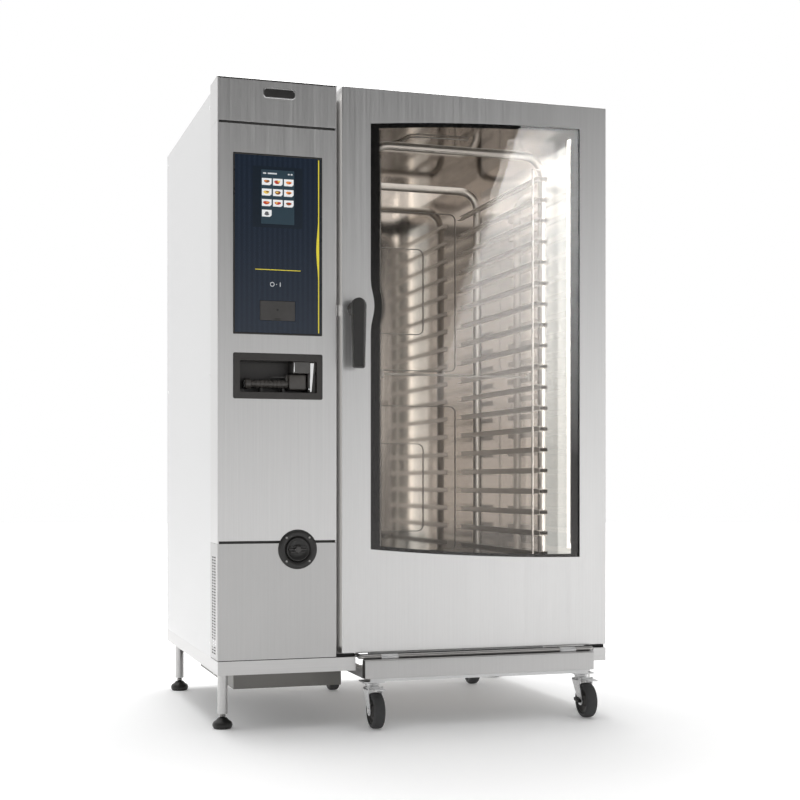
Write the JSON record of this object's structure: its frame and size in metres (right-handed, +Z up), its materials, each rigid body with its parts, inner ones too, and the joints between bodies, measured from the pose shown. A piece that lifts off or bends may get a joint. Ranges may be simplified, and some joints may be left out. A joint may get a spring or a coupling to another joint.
{
  "type": "combi steamer oven",
  "caption": "Floor-standing roll-in combi steamer oven with a control column, a full-height glass door and a rack trolley on castors.",
  "frame": {"origin": "middle of the whole object's footprint on the floor", "axes": "+Z up, -Y the front with the door and controls, +X to the right seen from the front"},
  "size_m": [1.162, 1.066, 1.7975],
  "materials": {
    "front_steel": "vertical brushed grain, satin",
    "side_steel": "fine scotch-brite, pale",
    "cavity_steel": "bright rolled stainless",
    "frame_steel": "satin",
    "rack_steel": "electropolished tube and sheet",
    "zinc_steel": "bright zinc plate",
    "dark_sheet": "dark coated sheet",
    "black_plastic": "fine moulded texture",
    "soft_black": "matt elastomer",
    "tyre": "matt grey-black tread",
    "door_glass": "clear tempered",
    "panel_glass": "navy back-printed glass",
    "wool": "mineral wool board",
    "motor": "painted casting",
    "brass": "turned"
  },
  "bodies": {
    "cabinet": {"base_frame": "frame_steel", "leg_tubes": "frame_steel", "leveling_feet": "soft_black", "drain_box": "dark_sheet", "drain_outlet": "dark_sheet", "left_side_panel": "side_steel", "right_side_panel": "side_steel", "roof_panel": "side_steel", "back_panel": "side_steel", "panel_screws": "zinc_steel", "top_fascia": "front_steel", "control_fascia": "front_steel", "service_panel": "front_steel", "facade_frame": "dark_sheet", "touch_frame": "black_plastic", "touch_glass": "panel_glass", "usb_socket": "black_plastic", "spray_recess": "black_plastic", "hose_reel": "dark_sheet", "plug_flange": "black_plastic", "electronics_box": "zinc_steel", "boiler": "cavity_steel", "cavity_liner": "cavity_steel", "cavity_front_frame": "frame_steel", "door_gasket": "soft_black", "insulation": "wool", "fan_baffle": "cavity_steel", "fan_motors": "motor", "heating_elements": "cavity_steel", "water_inlets": "brass", "cable_gland": "black_plastic", "exhaust_flue": "side_steel", "door_strike": "zinc_steel", "hinge_brackets": "frame_steel"},
    "door": {"door_skin": "front_steel", "door_liner": "frame_steel", "door_glass": "door_glass"},
    "handle": {"door_handle": "black_plastic", "latch_cam": "zinc_steel"},
    "usb_flap": {"usb_cover": "black_plastic"},
    "gun": {"spray_gun": "black_plastic"},
    "trigger": {"spray_trigger": "zinc_steel"},
    "plug": {"plug_cap": "black_plastic"},
    "upper_fan": {"fan_upper": "cavity_steel"},
    "lower_fan": {"fan_lower": "cavity_steel"},
    "trolley": {"trolley_base": "frame_steel", "trolley_panel": "front_steel", "trolley_bar": "rack_steel", "rear_forks": "zinc_steel", "rack_hoops": "rack_steel", "runners": "rack_steel"},
    "stop_bar": {"tray_stop": "rack_steel"},
    "castor_left": {"fork_left": "zinc_steel"},
    "castor_right": {"fork_right": "zinc_steel"},
    "brake_left": {"pedal_left": "zinc_steel"},
    "brake_right": {"pedal_right": "zinc_steel"},
    "front_left_wheel": {"wheel_front_left": "tyre"},
    "front_right_wheel": {"wheel_front_right": "tyre"},
    "rear_left_wheel": {"wheel_rear_left": "tyre"},
    "rear_right_wheel": {"wheel_rear_right": "tyre"}
  },
  "joints": [
    {"name": "door_swing", "type": "hinge", "parent": "cabinet", "child": "door", "pos_m": [0.554, -0.395, 1], "axis": [0, 0, 1], "range_deg": [0, 180]},
    {"name": "trolley_roll", "type": "slide", "parent": "cabinet", "child": "trolley", "axis": [0, -1, 0], "range_m": [0, 0.566]},
    {"name": "handle_turn", "type": "hinge", "parent": "door", "child": "handle", "pos_m": [-0.195, -0.475, 1.17], "axis": [0, -1, 0], "range_deg": [0, 90]},
    {"name": "usb_flap_open", "type": "hinge", "parent": "cabinet", "child": "usb_flap", "pos_m": [-0.414, -0.4355, 1.133], "axis": [1, 0, 0], "range_deg": [0, 110]},
    {"name": "gun_pull", "type": "slide", "parent": "cabinet", "child": "gun", "axis": [0, -1, 0], "range_m": [0, 0.3]},
    {"name": "trigger_press", "type": "hinge", "parent": "gun", "child": "trigger", "pos_m": [-0.379, -0.394, 0.9775], "axis": [0, -1, 0], "range_deg": [0, 5], "stiffness_Nm_per_rad": 0.05},
    {"name": "plug_turn", "type": "hinge", "parent": "cabinet", "child": "plug", "pos_m": [-0.357, -0.433, 0.499], "axis": [0, -1, 0], "range_deg": [0, 90]},
    {"name": "upper_fan_spin", "type": "hinge", "parent": "cabinet", "child": "upper_fan", "pos_m": [-0.181, 0.062, 1.31], "axis": [1, 0, 0], "continuous": true},
    {"name": "lower_fan_spin", "type": "hinge", "parent": "cabinet", "child": "lower_fan", "pos_m": [-0.181, 0.062, 0.64], "axis": [1, 0, 0], "continuous": true},
    {"name": "stop_bar_lift", "type": "slide", "parent": "trolley", "child": "stop_bar", "axis": [0, 0, 1], "range_m": [0, 0.012]},
    {"name": "castor_left_swivel", "type": "hinge", "parent": "trolley", "child": "castor_left", "pos_m": [-0.146, -0.448, 0.06], "axis": [0, 0, 1], "continuous": true},
    {"name": "brake_left_press", "type": "hinge", "parent": "castor_left", "child": "brake_left", "pos_m": [-0.146, -0.48, 0.112], "axis": [1, 0, 0], "range_deg": [0, 12]},
    {"name": "front_left_roll", "type": "hinge", "parent": "castor_left", "child": "front_left_wheel", "pos_m": [-0.146, -0.483, 0.05], "axis": [1, 0, 0], "continuous": true},
    {"name": "castor_right_swivel", "type": "hinge", "parent": "trolley", "child": "castor_right", "pos_m": [0.494, -0.448, 0.06], "axis": [0, 0, 1], "continuous": true},
    {"name": "brake_right_press", "type": "hinge", "parent": "castor_right", "child": "brake_right", "pos_m": [0.494, -0.48, 0.112], "axis": [1, 0, 0], "range_deg": [0, 12]},
    {"name": "front_right_roll", "type": "hinge", "parent": "castor_right", "child": "front_right_wheel", "pos_m": [0.494, -0.483, 0.05], "axis": [1, 0, 0], "continuous": true},
    {"name": "rear_left_roll", "type": "hinge", "parent": "trolley", "child": "rear_left_wheel", "pos_m": [-0.071, 0.272, 0.05], "axis": [1, 0, 0], "continuous": true},
    {"name": "rear_right_roll", "type": "hinge", "parent": "trolley", "child": "rear_right_wheel", "pos_m": [0.419, 0.272, 0.05], "axis": [1, 0, 0], "continuous": true}
  ],
  "couplings": [
    {"joint": "trolley_roll", "follows": "door_swing", "m_per_rad": 0.18}
  ]
}
